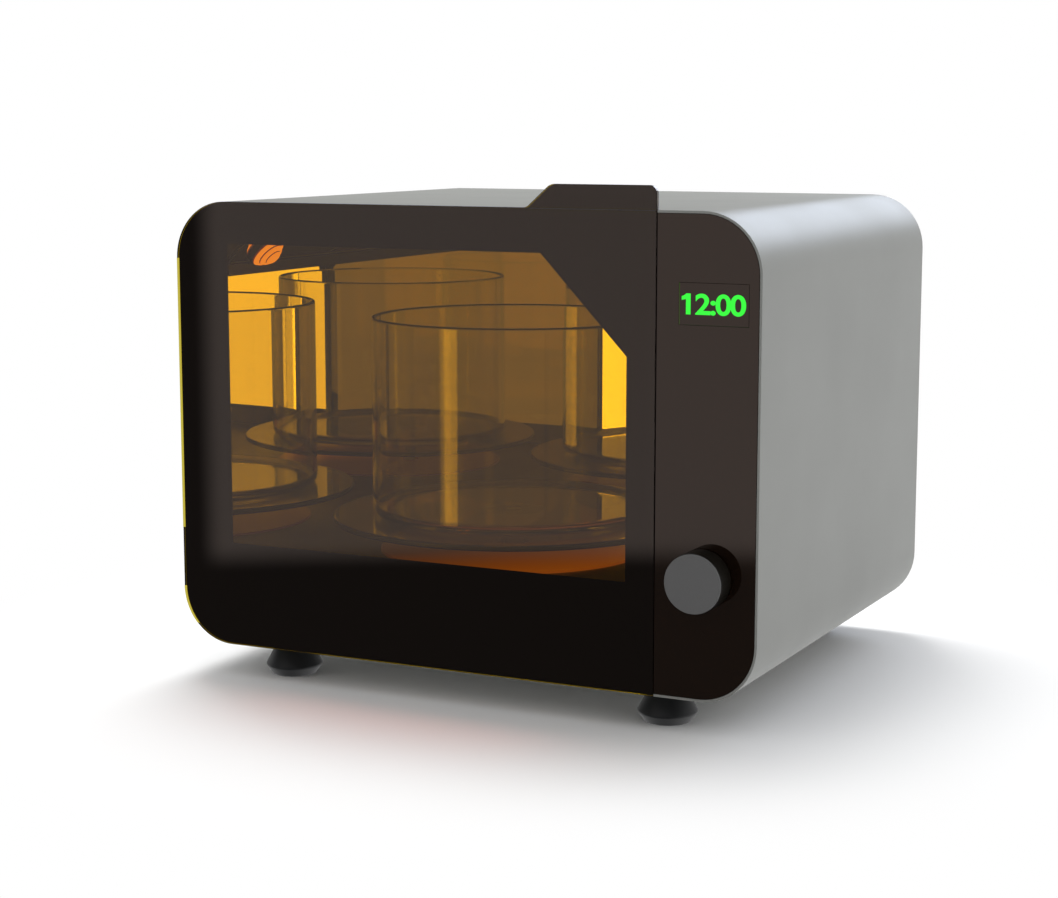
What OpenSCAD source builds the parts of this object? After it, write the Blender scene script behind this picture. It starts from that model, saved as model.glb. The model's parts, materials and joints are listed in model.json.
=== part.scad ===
// Dental lab light curing unit: a mirrored curing chamber with a glass turntable and jar
// behind a hinged amber door, beside a narrow control compartment with a display and a knob.
// Lengths are in millimetres. Inside in_case(), x runs across, y runs back from the door's
// front face and z runs up from the underside of the case.

/* [Case] */
// Width of the case
case_w = 401; // [391:1:421]
// Height of the case, without feet and handle tab
case_h = 288.5; // [284:0.5:300]
// Depth from the door's front face to the back edge of the case
case_d = 320.5; // [317:0.5:345]
// Outside radius of the four long edges
corner_r = 36.5; // [32:0.5:42]
// Thickness of the wrapped case sheet
sheet_t = 1.5; // [1.2:0.1:2]
// How far the back panel lies inside the back edge
back_inset = 6; // [5.5:0.5:9]
// Thickness of the inner sheet metal
inner_t = 1.5; // [1.2:0.1:2]
// Clearance between sheets that are slid together
fit_gap = 0.2; // [0.1:0.05:0.3]

/* [Door] */
// Thickness of the amber acrylic door
door_t = 3; // [2.5:0.1:4]
// Thickness of the black backing behind the acrylic
mask_t = 0.5; // [0.4:0.1:0.7]
// Margin of bare acrylic around the backing
mask_inset = 0.3; // [0.2:0.1:1]
// Gap between the closed door and the case's front edge
door_gap = 1.1; // [1:0.1:1.6]
// Gap between the door's edge and the control panel
seam_gap = 0.3; // [0.2:0.05:0.6]
// Height of the handle tab above the case
tab_h = 14.2; // [10:0.2:18]
// Length of the handle tab along the case's top edge
tab_w = 84.5; // [70:0.5:100]
// Run of the tab's sloping end
tab_run = 16; // [12:1:20]
// Width of the black border left of the window
border_left = 37.7; // [34:0.1:42]
// Width of the border right of the window, up to the seam
border_right = 19.5; // [17:0.1:26]
// Height of the border below the window
border_low = 67.5; // [60:0.5:72]
// Height of the border above the window, without the handle tab
border_top = 26.8; // [24:0.1:34]
// Width of the cut corner at the window's upper right
window_cut_w = 56.3; // [30:0.1:70]
// Height of that cut corner
window_cut_h = 59.3; // [30:0.1:70]

/* [Hinges] */
// Radius of the hinge knuckles
knuckle_r = 2; // [1.9:0.05:2.2]
// Radius of the hinge pins
pin_r = 1; // [0.8:0.05:1.1]
// Radial clearance of every turning shaft in its bore
run_gap = 0.05; // [0.03:0.01:0.08]
// Length of one hinge
hinge_len = 28; // [24:1:36]
// Width of the hinge leaf on the door
leaf_w = 23; // [18:1:26]
// Thickness of the hinge leaves
leaf_t = 1.2; // [1:0.1:1.4]
// Height of the magnet that keeps the door shut
catch_len = 40; // [30:1:50]
// Width of that magnet
catch_w = 6; // [5:0.5:6.5]

/* [Control side] */
// Width of the control panel side, from the seam to the case's edge
panel_w = 65; // [62:0.5:70]
// Thickness of the control panel
panel_t = 3; // [2.5:0.1:3.2]
// How far the control panel and its rim lie behind the door's front face
panel_y = 0.4; // [0.2:0.1:1]
// Width of the display window
display_w = 43; // [40:0.5:46]
// Height of the display window
display_h = 24.5; // [20:0.5:28]
// Distance of the display window below the top of the case
display_drop = 41.2; // [36:0.2:60]
// Distance of the display window's middle right of the panel's middle
display_shift = 3.1; // [0:0.1:3.4]
// Height of the knob's centre
knob_z = 74.3; // [60:0.1:100]
// Distance of the knob's centre left of the panel's middle
knob_shift = 1.6; // [0:0.1:4]
// Radius of the knob
knob_r = 18; // [15:0.5:20]
// Length of the knob in front of the control panel
knob_len = 17; // [14:0.5:20]
// Travel of the knob when it is pushed
push_travel = 0.8; // [0.5:0.1:1]
// Radius of the knob's shaft
shaft_r = 3; // [2.5:0.1:3]
// Thickness of the circuit boards
board_t = 1.6; // [1.2:0.1:2]
// Width of the control board
board_w = 48; // [44:0.5:49]
// Length of the posts that carry the control board
post_len = 7; // [6.5:0.1:9]
// Width of the power supply
supply_w = 38; // [30:1:44]
// Length of the power supply, without its terminals
supply_len = 140; // [110:1:170]
// Height of the power supply
supply_h = 98; // [70:1:110]

/* [Chamber] */
// Distance from the case's left side to the left mirror
chamber_left = 34; // [33:0.5:38]
// Distance from the right mirror to the seam
chamber_right = 12; // [11:0.5:13]
// Height of the chamber's floor
floor_z = 50; // [48:0.5:54]
// Space between the chamber's roof and the underside of the case top
roof_space = 15; // [14:0.5:18]
// Space between the back mirror and the back panel
rear_space = 10.5; // [9:0.5:16]
// Size of the sloping corners under the roof
chamber_cut = 24.5; // [20:0.5:30]
// Thickness of the mirror glass
mirror_t = 2; // [1.5:0.1:3]
// Height of the black rails above the side mirrors
rail_h = 7; // [5:0.5:9]
// Width of the rubber seal around the chamber's mouth
seal_w = 3; // [2.5:0.1:3.5]

/* [Turntable] */
// Distance of the turntable's axis left of the chamber's middle
table_left = 10; // [5:0.5:14]
// Distance of the turntable's axis in front of the chamber's middle
table_front = 5.8; // [0:0.1:12]
// Gap between the glass plate and the left mirror
plate_gap = 12; // [8:0.5:24]
// Thickness of the glass plate
plate_t = 4; // [3:0.5:6]
// Height of the glass plate's underside
plate_z = 71; // [68:0.5:76]
// Width of the plate's rim outside the jar
plate_rim = 27; // [20:0.5:40]
// Height of the glass jar
jar_h = 134.5; // [100:0.5:140]
// Wall of the glass jar
jar_wall = 3; // [2:0.5:4]
// Radius of the motor's output shaft
motor_shaft_r = 3.5; // [3:0.1:4]
// Radius of the turntable motor
motor_r = 24.5; // [22:0.5:26]
// Height of the turntable motor
motor_h = 19; // [16:0.5:20]

/* [Lamps] */
// How much smaller the lower lamp's lens is than the plate
lens_inset = 35.5; // [30:0.5:45]
// Radius of the upper lamp's lens
top_lens_r = 60; // [50:0.5:66]
// Width of the lens rims
lens_rim = 3.5; // [3:0.5:5]
// Number of diodes in the outermost ring
diode_count = 24; // [12:2:28]

/* [Back] */
// Size of the square cooling fan
fan_size = 60; // [50:1:62]
// Thickness of the cooling fan
fan_t = 15; // [12:0.5:20]
// Height of the fan's centre
fan_z = 200; // [170:1:210]
// Height of the mains inlet's centre
inlet_z = 40; // [38:1:50]
// Height of the power switch's centre
switch_z = 82; // [78:1:100]
// Number of vent slots in one row
vent_count = 11; // [6:1:12]

/* [Feet] */
// Height of the feet
foot_h = 21.5; // [18:0.5:26]
// Radius of a foot at its waist
foot_r = 18.4; // [15:0.1:20]
// Distance of the feet from the sides of the case
foot_side = 67; // [58:1:76]
// Distance of the feet from the front face and from the back edge
foot_edge = 28; // [24:0.5:34]

/* [Hidden] */
$fn = 64;

frame_gap = 1;
front_edge = door_t + mask_t + door_gap;
frame_y = front_edge + frame_gap;
frame_back = frame_y + inner_t;
panel_back = panel_y + panel_t;
knob_tip = panel_y - knob_len;
front_y = (-knob_tip - case_d) / 2;

seam_x = case_w / 2 - panel_w;
inside_x = case_w / 2 - sheet_t;
inside_top = case_h - sheet_t;
base_top = sheet_t + inner_t;
back_y = case_d - back_inset - inner_t;

mirror_x0 = chamber_left - case_w / 2;
mirror_x1 = seam_x - chamber_right;
roof_z = inside_top - roof_space;
mirror_y = back_y - rear_space;
mirror_front = frame_back + 1;
liner_t = mirror_t + inner_t;
slope_z = roof_z - chamber_cut;
rail_z = slope_z - rail_h;

hinge_x = knuckle_r - case_w / 2;
hinge_y = front_edge + knuckle_r;
hinge_zs = [case_h / 4, case_h * 3 / 4];
knuckle_gap = 0.3;
middle_knuckle = hinge_len * 0.42;
hinge_room = 0.6;
leaf_reach = 26;

catch_x = seam_x - catch_w - 1;
catch_z0 = (case_h - catch_len) / 2;
catch_z1 = (case_h + catch_len) / 2;
strike_t = 0.6;

control_x = (mirror_x1 + liner_t + inside_x) / 2;
panel_x = (seam_x + case_w / 2) / 2;
knob_x = panel_x - knob_shift;
knob_gap = push_travel + 0.4;
cap_t = 1;
display_x0 = panel_x + display_shift - display_w / 2;
display_x1 = display_x0 + display_w;
display_z1 = case_h - display_drop;
display_z0 = display_z1 - display_h;
board_y = panel_back + post_len;
board_low = knob_z - 18;
board_high = display_z1 + 8;
board_mid = (board_low + board_high) / 2;
encoder_half = 6;
plunger_t = 4 - push_travel - 0.3;
plunger_y = board_y - plunger_t - push_travel - 0.15;

table_x = (mirror_x0 + mirror_x1) / 2 - table_left;
table_y = (mirror_front + mirror_y) / 2 - table_front;
plate_r = table_x - mirror_x0 - plate_gap;
plate_bore_r = 6.1;
jar_r = plate_r - plate_rim;
shaft_z = base_top + motor_h - 8;
hub_z = base_top + motor_h + 3.5;

lens_r = plate_r - lens_inset;
lens_top = 1.5;
sink_t = 6;
sink_z = 24;
upper_board_z = roof_z + liner_t + lens_top + 2.5 + board_t;
diode_h = 1.2;

fan_x = control_x;
fan_y = back_y - fan_t;
fan_bore_r = fan_size / 2 - 1.5;
rotor_hub_r = fan_size * 0.24;
blade_count = 7;
fan_hole = fan_size / 2 - 5;
fan_holes = [for (x = [-1, 1], z = [-1, 1]) [x * fan_hole, z * fan_hole]];
inlet_size = [27, 20];
inlet_cavity = [24, 16.4];
inlet_depth = 18;
inlet_ear = 20;
switch_size = [12.6, 18.6];
rocker_tilt = 8;
rocker_pin_r = 1.2;
screw_r = 1.5;
screw_head_r = 2.8;
screw_play = 0.2;
foot_screw_r = 2.1;
foot_screw_head = 4;
foot_x = case_w / 2 - foot_side;
feet = [for (y = [foot_edge, case_d - foot_edge], x = [-foot_x, foot_x]) [x, y]];
vent_pitch = 22;
vent_z = [26, roof_z - 12];
// Screws around the edge of the back panel, as x and z
panel_screws = [
    [10 - inside_x, case_h * 0.3], [10 - inside_x, case_h * 0.7],
    [inside_x - 10, case_h * 0.42], [inside_x - 9, case_h * 0.25],
    [mirror_x0 * 0.5, 10], [mirror_x1 * 0.5, 10],
    [mirror_x0 * 0.5, inside_top - 8], [mirror_x1 * 0.5, inside_top - 8]
];

// Everything is drawn in the case's own coordinates and then put on its feet.
module in_case() {
    translate([0, front_y, foot_h]) children();
}

// A block given by its lowest and highest x, y and z.
module span(x, y, z) {
    translate([x[0], y[0], z[0]]) cube([x[1] - x[0], y[1] - y[0], z[1] - z[0]]);
}

// A profile in x and z, extruded back from y.
module upright(y, t) {
    translate([0, y + t, 0]) rotate([90, 0, 0]) linear_extrude(t) children();
}

// A round bar along y.
module bar_y(x, y, z, r, len) {
    translate([x, y, z]) rotate([-90, 0, 0]) cylinder(r = r, h = len);
}

// A round bar along x.
module bar_x(x, y, z, r, len) {
    translate([x, y, z]) rotate([0, 90, 0]) cylinder(r = r, h = len);
}

// A rectangle around the origin, made larger by d on every side.
module centred(size, d) {
    square([size[0] + 2 * d, size[1] + 2 * d], center = true);
}

module rounded_rect(w, h, r) {
    square([w, h - 2 * r], center = true);
    square([w - 2 * r, h], center = true);
    for (x = [-1, 1], z = [-1, 1]) translate([x * (w / 2 - r), z * (h / 2 - r)]) circle(r);
}

// The case's front outline, drawn in by d.
module case_outline(d) {
    translate([0, case_h / 2]) rounded_rect(case_w - 2 * d, case_h - 2 * d, corner_r - d);
}

// The chamber's cross-section, made larger by d on every side.
function chamber_points(d, bottom) =
    let (k = sqrt(2) - 1, x0 = mirror_x0 - d, x1 = mirror_x1 + d, z1 = roof_z + d)
    [[x0, bottom], [x1, bottom], [x1, slope_z + k * d], [mirror_x1 - chamber_cut + k * d, z1],
     [mirror_x0 + chamber_cut - k * d, z1], [x0, slope_z + k * d]];

// An arc of radius r that rounds the corner b between the points a and c.
function corner_arc(a, b, c, r, steps = 10) =
    let (
        u = (a - b) / norm(a - b),
        v = (c - b) / norm(c - b),
        half = acos(u * v) / 2,
        m = b + (u + v) / norm(u + v) * r / sin(half),
        p = b + u * r / tan(half) - m,
        q = b + v * r / tan(half) - m,
        start = atan2(p[1], p[0]),
        sweep = (atan2(q[1], q[0]) - start + 540) % 360 - 180
    )
    [for (i = [0 : steps]) m + r * [cos(start + sweep * i / steps), sin(start + sweep * i / steps)]];

// A closed outline whose corners are rounded by the radii in the second list.
function rounded_points(points, radii, steps) =
    let (n = len(points))
    [for (i = [0 : n - 1])
        each corner_arc(points[(i + n - 1) % n], points[i], points[(i + 1) % n], radii[i], steps)];

// The door's outline with its handle tab, drawn in by d.
module door_outline(d) {
    left = d - case_w / 2;
    right = seam_x - seam_gap / 2 - d;
    top = case_h + tab_h - d;
    tab_x = seam_x - tab_w;
    polygon(rounded_points(
        [[left, d], [right, d], [right, top], [tab_x + tab_run, top], [tab_x, case_h - d],
         [left, case_h - d]],
        [corner_r - d, 0.5, 5, 8, 6, corner_r - d], 20
    ));
}

module window_outline() {
    x0 = border_left - case_w / 2;
    x1 = seam_x - border_right;
    z1 = case_h - border_top;
    polygon([[x0, border_low], [x1, border_low], [x1, z1 - window_cut_h],
             [x1 - window_cut_w, z1], [x0, z1]]);
}

module slot(w, h) {
    square([w, h - w], center = true);
    for (z = [-1, 1]) translate([0, z * (h - w) / 2]) circle(w / 2, $fn = 24);
}

// Room that the hinges need in the case's front edge and in the frame.
module hinge_rooms(x, y) {
    for (z = hinge_zs) {
        span([-case_w / 2 - 1, x], [front_edge - 1, y],
             [z - hinge_len / 2 - hinge_room, z + hinge_len / 2 + hinge_room]);
    }
}

// Case

module outer_shell() {
    color("silver") in_case() difference() {
        upright(panel_y, case_d - panel_y) difference() {
            case_outline(0);
            case_outline(sheet_t);
        }
        // The front edge is stepped back where the door lies
        span([-case_w, seam_x + seam_gap / 2], [-1, front_edge], [-1, case_h + 1]);
        hinge_rooms(sheet_t + fit_gap - case_w / 2, hinge_y + knuckle_r + hinge_room);
        for (p = feet) translate([p[0], p[1], -1]) cylinder(r = foot_screw_r + fit_gap, h = sheet_t + 2);
    }
}

module chassis_base() {
    half = case_w / 2 - corner_r - 0.5;
    y0 = frame_back + inner_t + fit_gap;
    color("gainsboro") in_case() difference() {
        union() {
            span([-half, half], [y0, back_y], [sheet_t, base_top]);
            span([-half, mirror_x1 + mirror_t - inner_t], [y0, y0 + inner_t], [sheet_t, sheet_t + 12]);
            span([mirror_x0, mirror_x1], [back_y - inner_t, back_y], [sheet_t, sheet_t + 12]);
        }
        for (p = feet) translate([p[0], p[1], 0]) cylinder(r = foot_screw_r + fit_gap, h = 10);
        for (p = panel_screws) bar_y(p[0], back_y - 5, p[1], screw_r + screw_play, 8);
    }
}

module front_frame() {
    step_x = seam_x + seam_gap;
    flange = 5.5;
    color("dimgray") in_case() difference() {
        union() {
            upright(frame_y, inner_t) intersection() {
                case_outline(sheet_t + fit_gap);
                translate([-case_w, 0]) square([case_w + step_x + inner_t, case_h]);
            }
            // Stepped forward around the control side, to carry the panel
            span([step_x, step_x + inner_t], [panel_back, frame_back],
                 [sheet_t + fit_gap, inside_top - fit_gap]);
            upright(panel_back, inner_t) intersection() {
                case_outline(sheet_t + fit_gap);
                difference() {
                    translate([step_x, 0]) square([case_w, case_h]);
                    translate([step_x + flange, 30])
                        square([inside_x - step_x - 2 * flange, case_h - 56]);
                }
            }
            // Folded lip along the left side and the top
            upright(frame_back, 12) intersection() {
                difference() {
                    case_outline(sheet_t + fit_gap);
                    case_outline(sheet_t + fit_gap + inner_t);
                }
                translate([-case_w, corner_r]) square([case_w + mirror_x1, case_h]);
            }
        }
        upright(frame_y - 1, inner_t + 2) polygon(chamber_points(-1, floor_z + 1));
        hinge_rooms(hinge_x + knuckle_r + 2.6, hinge_y + leaf_reach);
        span([catch_x, catch_x + catch_w], [0, 30], [catch_z0, catch_z1]);
    }
}

module door_seal() {
    z0 = floor_z - 0.5;
    color("black") in_case() upright(door_t + mask_t + 0.3, frame_y - door_t - mask_t - 0.3)
        difference() {
            polygon(chamber_points(0.5 + seal_w, z0 - seal_w));
            polygon(chamber_points(0.5, z0));
        }
}

module partition_wall() {
    x0 = mirror_x1 + mirror_t;
    color("lightgray") in_case() difference() {
        span([x0, x0 + inner_t], [frame_back, back_y], [base_top, inside_top - fit_gap]);
        // Slots through which the fan draws air from the lamp space
        for (y = [60 : 26 : back_y - 50]) {
            translate([x0 - 1, y, 26]) rotate([90, 0, 90]) linear_extrude(inner_t + 2) slot(14, 30);
        }
        span([x0 - 1, x0 + inner_t + 1], [frame_back - 1, frame_back + inner_t + fit_gap + 0.1],
             [base_top - 1, base_top + 12]);
    }
}

module liner_left() {
    x1 = mirror_x0 - mirror_t;
    color("gainsboro") in_case() {
        span([x1 - inner_t, x1], [frame_back, back_y], [base_top + 1, slope_z]);
        span([x1 - inner_t, x1 + 14], [frame_back + 6, mirror_y + liner_t - inner_t],
             [base_top, base_top + inner_t]);
    }
}

module liner_back() {
    color("gainsboro") in_case() upright(mirror_y + mirror_t, inner_t)
        polygon(chamber_points(mirror_t, base_top + inner_t));
}

module liner_roof() {
    color("gainsboro") in_case() difference() {
        upright(frame_back, mirror_y + mirror_t - frame_back) difference() {
            polygon(chamber_points(liner_t, slope_z + fit_gap));
            polygon(chamber_points(mirror_t, slope_z - 1));
            translate([mirror_x1 + mirror_t, 0]) square([20, case_h]);
        }
        translate([table_x, table_y, roof_z]) cylinder(r = top_lens_r + fit_gap, h = 20);
    }
}

module chamber_floor() {
    x0 = mirror_x0 - mirror_t;
    x1 = mirror_x1 + mirror_t;
    z0 = floor_z - inner_t;
    y0 = frame_back;
    y1 = mirror_y + mirror_t;
    color("darkgray") in_case() difference() {
        union() {
            span([x0, x1], [y0, y1], [z0, floor_z]);
            for (x = [x0, x1 - inner_t]) span([x, x + inner_t], [y0, y1], [z0 - 10, floor_z]);
            span([x0, x1], [y1 - inner_t, y1], [z0 - 10, floor_z]);
        }
        translate([table_x, table_y, z0 - 20]) cylinder(r = lens_r + fit_gap, h = 40);
    }
}

// Mirrors

module mirror_left() {
    color("lightblue") in_case()
        span([mirror_x0 - mirror_t, mirror_x0], [mirror_front, mirror_y], [floor_z, rail_z]);
}

module mirror_right() {
    color("lightblue") in_case()
        span([mirror_x1, mirror_x1 + mirror_t], [mirror_front, mirror_y], [floor_z, rail_z]);
}

module mirror_back() {
    color("lightblue") in_case() upright(mirror_y, mirror_t) polygon(chamber_points(0, floor_z));
}

module mirror_roof() {
    color("lightblue") in_case() difference() {
        span([mirror_x0 + chamber_cut, mirror_x1 - chamber_cut], [mirror_front, mirror_y],
             [roof_z, roof_z + mirror_t]);
        translate([table_x, table_y, roof_z - 1]) cylinder(r = top_lens_r + fit_gap, h = 20);
    }
}

// A sloping mirror strip; side is -1 for the left and 1 for the right.
module mirror_slope(side) {
    x = side < 0 ? mirror_x0 : mirror_x1;
    step = mirror_t / sqrt(2);
    color("lightblue") in_case() upright(mirror_front, mirror_y - mirror_front)
        polygon([[x, slope_z], [x - side * chamber_cut, roof_z],
                 [x - side * (chamber_cut - step), roof_z + step], [x + side * step, slope_z + step]]);
}

module mirror_slope_left() {
    mirror_slope(-1);
}

module mirror_slope_right() {
    mirror_slope(1);
}

module mirror_rails() {
    lip = 1;
    color("black") in_case() {
        span([mirror_x0 - mirror_t, mirror_x0 + lip], [mirror_front, mirror_y], [rail_z, slope_z]);
        span([mirror_x1 - lip, mirror_x1 + mirror_t], [mirror_front, mirror_y], [rail_z, slope_z]);
    }
}

// Lamps

module lens(r, hole) {
    rotate_extrude() polygon([
        [hole, -3.5], [r, -3.5], [r, 0], [r + lens_rim, 0], [r + lens_rim, 0.8],
        [r + lens_rim - 0.7, lens_top], [hole, lens_top]
    ]);
}

// A round board with rings of diodes on its upper face.
module led_board(r, hole, rings) {
    difference() {
        cylinder(r = r, h = board_t);
        translate([0, 0, -1]) cylinder(r = hole, h = board_t + 2);
    }
    for (ring = [1 : rings]) {
        ring_r = hole + (r - hole) * (ring - 0.3) / rings;
        count = round(diode_count * ring / rings);
        for (i = [0 : count - 1]) {
            rotate(i * 360 / count) translate([ring_r - 1.75, -1.75, board_t - 0.1])
                cube([3.5, 3.5, diode_h + 0.1]);
        }
    }
}

module lower_lens() {
    color("orange") in_case() translate([table_x, table_y, floor_z]) lens(lens_r, 11);
}

module lower_led_board() {
    color("white") in_case() translate([table_x, table_y, sink_z + sink_t])
        led_board(lens_r - 4, 18, 2);
}

module lower_heat_sink() {
    color("darkgray") in_case() translate([table_x, table_y, 0]) {
        difference() {
            translate([0, 0, sink_z]) cylinder(r = lens_r - 7, h = sink_t);
            translate([0, 0, sink_z - 1]) cylinder(r = motor_r + 6, h = sink_t + 2);
            for (i = [0 : 23]) {
                rotate(i * 15) translate([motor_r + 12, -1.5, sink_z - 1])
                    cube([lens_r, 3, sink_t - 1.5]);
            }
        }
        for (i = [0 : 3]) {
            rotate(45 + i * 90) translate([motor_r + 9, 0, base_top])
                cylinder(r = 2.5, h = sink_z - base_top);
        }
    }
}

module upper_lens() {
    color("white") in_case() translate([table_x, table_y, roof_z + liner_t]) rotate_extrude()
        polygon([
            [0, -liner_t], [top_lens_r, -liner_t], [top_lens_r, 0], [top_lens_r + lens_rim, 0],
            [top_lens_r + lens_rim, lens_top], [0, lens_top]
        ]);
}

module upper_led_board() {
    color("white") in_case() translate([table_x, table_y, upper_board_z])
        mirror([0, 0, 1]) led_board(top_lens_r - 2, 4, 2);
}

module upper_heat_sink() {
    half = top_lens_r + lens_rim + 8;
    z0 = upper_board_z;
    color("darkgray") in_case() translate([table_x, table_y, 0]) {
        difference() {
            span([-half, half], [-half, half], [z0, z0 + 3]);
            for (x = [-half + 6 : 6 : half - 6]) span([x, x + 2], [-half - 1, half + 1], [z0 + 1, z0 + 4]);
        }
        for (x = [-1, 1], y = [-1, 1]) {
            translate([x * (half - 4), y * (half - 4), roof_z + liner_t])
                cylinder(r = 2.5, h = z0 - roof_z - liner_t);
        }
    }
}

// Turntable

module turntable_motor() {
    boss_h = 2.5;
    color("silver") in_case() translate([table_x, table_y, base_top]) difference() {
        union() {
            cylinder(r = motor_r, h = motor_h);
            cylinder(r = motor_r + 0.8, h = 2);
            translate([0, 0, motor_h]) cylinder(r = 8, h = boss_h);
            for (side = [-1, 1]) {
                translate([side * (motor_r + 4), 0, 0]) cylinder(r = 5, h = 1.2);
                span([min(0, side * (motor_r + 4)), max(0, side * (motor_r + 4))], [-5, 5], [0, 1.2]);
            }
        }
        translate([0, 0, motor_h - 9]) cylinder(r = motor_shaft_r + run_gap, h = 20);
        for (side = [-1, 1]) translate([side * (motor_r + 4), 0, -1]) cylinder(r = 2, h = 4);
    }
}

module motor_shaft() {
    color("gray") in_case() translate([table_x, table_y, shaft_z]) difference() {
        cylinder(r = motor_shaft_r, h = hub_z + 10 - shaft_z);
        for (side = [-1, 1]) {
            translate([side * (motor_shaft_r + 1.5), 0, hub_z + 3 - shaft_z + 10])
                cube([5, 10, 20], center = true);
        }
    }
}

module drive_hub() {
    column_r = 7.5;
    flange_r = 22;
    color("white") in_case() translate([table_x, table_y, hub_z]) difference() {
        union() {
            cylinder(r = column_r, h = plate_z - hub_z);
            translate([0, 0, plate_z - hub_z - 3]) cylinder(r = flange_r, h = 3);
            cylinder(r = plate_bore_r - 0.1, h = plate_z + plate_t - 0.5 - hub_z);
            // Ribs under the flange
            for (i = [0 : 5]) {
                rotate(i * 60) translate([0, 0.75, plate_z - hub_z - 3]) rotate([90, 0, 0])
                    linear_extrude(1.5) polygon([[0, 0.1], [flange_r - 1, 0.1], [column_r, -10], [0, -10]]);
            }
        }
        translate([0, 0, -1]) cylinder(r = motor_shaft_r + run_gap, h = 12);
    }
}

module turntable_plate() {
    edge = 0.8;
    color("lightcyan") in_case() translate([table_x, table_y, plate_z]) rotate_extrude() polygon([
        [plate_bore_r, 0], [plate_r - edge, 0], [plate_r, edge], [plate_r, plate_t - edge],
        [plate_r - edge, plate_t], [plate_bore_r, plate_t]
    ]);
}

module glass_jar() {
    heel = 6;
    lip = jar_wall / 2;
    color("lightcyan") in_case() translate([table_x, table_y, plate_z + plate_t])
        rotate_extrude($fn = 96) {
            polygon(concat(
                [[0, 0.6], [jar_r - 14, 0.6], [jar_r - 11, 0]],
                corner_arc([0, 0], [jar_r, 0], [jar_r, jar_h], heel),
                [[jar_r, jar_h - lip], [jar_r - jar_wall, jar_h - lip]],
                corner_arc([jar_r - jar_wall, jar_h], [jar_r - jar_wall, jar_wall + 1],
                           [0, jar_wall + 1], heel - jar_wall + 1),
                [[0, jar_wall + 1]]
            ));
            translate([jar_r - lip, jar_h - lip]) circle(lip, $fn = 24);
        }
}

// Control side

module control_panel() {
    color("black") in_case() difference() {
        upright(panel_y, panel_t) difference() {
            intersection() {
                case_outline(sheet_t + fit_gap);
                translate([seam_x + seam_gap / 2, 0]) square([case_w, case_h]);
            }
            translate([display_x0, display_z0]) square([display_w, display_h]);
        }
        bar_y(knob_x, panel_y - 1, knob_z, shaft_r + 0.9, panel_t + 2);
    }
}

module display_lens() {
    edge = 0.1;
    color("darkgreen") in_case()
        span([display_x0 + edge, display_x1 - edge], [panel_y, panel_back],
             [display_z0 + edge, display_z1 - edge]);
}

module display_module() {
    digit_pitch = display_w / 4.4;
    digit_h = display_h * 0.7;
    z = (display_z0 + display_z1) / 2;
    color("dimgray") in_case() difference() {
        span([display_x0, display_x1], [panel_back + fit_gap, board_y], [display_z0, display_z1]);
        // Wells of the four digits, with room for the colon in the middle
        for (i = [-2, -1, 0, 1]) {
            x = (display_x0 + display_x1) / 2 + (i + 0.06 + (i < 0 ? -0.12 : 0.12)) * digit_pitch;
            span([x, x + digit_pitch * 0.86], [panel_back - 1, panel_back + 1.2],
                 [z - digit_h / 2, z + digit_h / 2]);
        }
    }
}

module control_board() {
    back = board_y + board_t;
    color("green") in_case() {
        span([panel_x - board_w / 2, panel_x + board_w / 2], [board_y, back], [board_low, board_high]);
        // Processor, display driver, cable socket and capacitor on the back
        span([panel_x - 8, panel_x + 6], [back, back + 2], [board_mid - 4, board_mid + 10]);
        span([panel_x - 18, panel_x - 8], [back, back + 3], [board_mid + 32, board_mid + 48]);
        span([panel_x - 20, panel_x + 4], [back, back + 8], [board_mid - 52, board_mid - 44]);
        bar_y(panel_x + 14, back, board_mid - 26, 5, 12);
    }
}

module board_posts() {
    half = board_w / 2 - 4;
    color("gold") in_case() for (x = [-half, half], z = [board_low + 5, board_high - 4])
        bar_y(panel_x + x, panel_back, z, 2.5, post_len);
}

module encoder_body() {
    y0 = panel_back + 0.5;
    neck_r = shaft_r + 0.7;
    color("slategray") in_case() difference() {
        union() {
            span([knob_x - encoder_half, knob_x + encoder_half], [y0, board_y],
                 [knob_z - encoder_half, knob_z + encoder_half]);
            bar_y(knob_x, panel_y + 0.3, knob_z, neck_r, y0 - panel_y);
        }
        bar_y(knob_x, panel_y - 1, knob_z, shaft_r + run_gap, board_y - panel_y);
        bar_y(knob_x, board_y - 4, knob_z, shaft_r + 1.2, 5);
    }
}

module encoder_plunger() {
    color("white") in_case() bar_y(knob_x, plunger_y, knob_z, shaft_r + 0.9, plunger_t);
}

module encoder_shaft() {
    color("silver") in_case() difference() {
        bar_y(knob_x, knob_tip + 4, knob_z, shaft_r, plunger_y - knob_tip - 4);
        // Flat that keys the knob
        span([knob_x - 5, knob_x + 5], [knob_tip, panel_y - 4], [knob_z + shaft_r - 1, knob_z + 10]);
    }
}

module knob_body() {
    y0 = knob_tip + cap_t;
    y1 = panel_y - knob_gap;
    color([0.06, 0.06, 0.06]) in_case() difference() {
        union() {
            difference() {
                bar_y(knob_x, y0, knob_z, knob_r, y1 - y0);
                bar_y(knob_x, y0 + 3, knob_z, knob_r - 2.2, y1);
            }
            bar_y(knob_x, y0 + 1, knob_z, shaft_r + 3, y1 - y0 - 1);
            // Ribs between the boss and the skirt
            for (i = [0 : 5]) {
                translate([knob_x, 0, knob_z]) rotate([0, 15 + i * 60, 0])
                    span([shaft_r + 2, knob_r - 1], [y0 + 1, y1 - 3], [-0.6, 0.6]);
            }
        }
        bar_y(knob_x, knob_tip + 4, knob_z, shaft_r + run_gap, y1 - knob_tip);
    }
}

module knob_cap() {
    cap_r = knob_r - 0.3;
    color("gray") in_case() translate([knob_x, knob_tip + cap_t, knob_z]) rotate([90, 0, 0])
        rotate_extrude()
            polygon([[0, 0], [cap_r, 0], [cap_r, cap_t - 0.4], [cap_r - 0.4, cap_t], [0, cap_t]]);
}

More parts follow.
